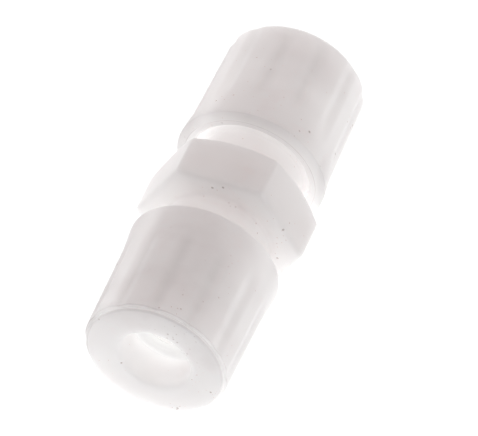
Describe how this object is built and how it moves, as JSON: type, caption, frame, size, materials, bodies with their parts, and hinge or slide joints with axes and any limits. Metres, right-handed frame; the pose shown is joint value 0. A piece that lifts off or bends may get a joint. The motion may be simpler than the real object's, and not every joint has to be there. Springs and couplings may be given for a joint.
{
  "type": "straight tube union",
  "caption": "Milky plastic straight tube union with a hexagonal body and a fluted nut screwed on each end, each nut closing a grip ring and a seal on a plastic tube.",
  "frame": {"origin": "middle of the hexagon, on the tube's axis", "axes": "+X along the tube, +Z square to the upper flat of the hexagon"},
  "size_m": [0.045, 0.0196, 0.0176],
  "materials": {
    "milky_body": "moulded",
    "milky_nut": "moulded",
    "grip_plastic": "moulded",
    "ring_plastic": "moulded",
    "seal_rubber": "moulded"
  },
  "bodies": {
    "root": {"union_body": "milky_body", "thrust_ring_right": "ring_plastic", "thrust_ring_left": "ring_plastic", "seal_ring_right": "seal_rubber", "seal_ring_left": "seal_rubber"},
    "grip_right": {"grip_ring_right": "grip_plastic"},
    "nut_right": {"union_nut_right": "milky_nut"},
    "grip_left": {"grip_ring_left": "grip_plastic"},
    "nut_left": {"union_nut_left": "milky_nut"}
  },
  "joints": [
    {"name": "nut_travel_right", "type": "slide", "parent": "root", "child": "grip_right", "axis": [1, 0, 0], "range_m": [0, 0.008]},
    {"name": "nut_turn_right", "type": "hinge", "parent": "grip_right", "child": "nut_right", "pos_m": [0.015, 0, 0], "axis": [1, 0, 0], "range_deg": [0, 1440.5]},
    {"name": "nut_travel_left", "type": "slide", "parent": "root", "child": "grip_left", "axis": [-1, 0, 0], "range_m": [0, 0.008]},
    {"name": "nut_turn_left", "type": "hinge", "parent": "grip_left", "child": "nut_left", "pos_m": [-0.015, 0, 0], "axis": [-1, 0, 0], "range_deg": [0, 1440.5]}
  ],
  "couplings": [
    {"joint": "nut_turn_right", "follows": "nut_travel_right", "rad_per_m": 3141.6},
    {"joint": "nut_turn_left", "follows": "nut_travel_left", "rad_per_m": 3141.6}
  ]
}
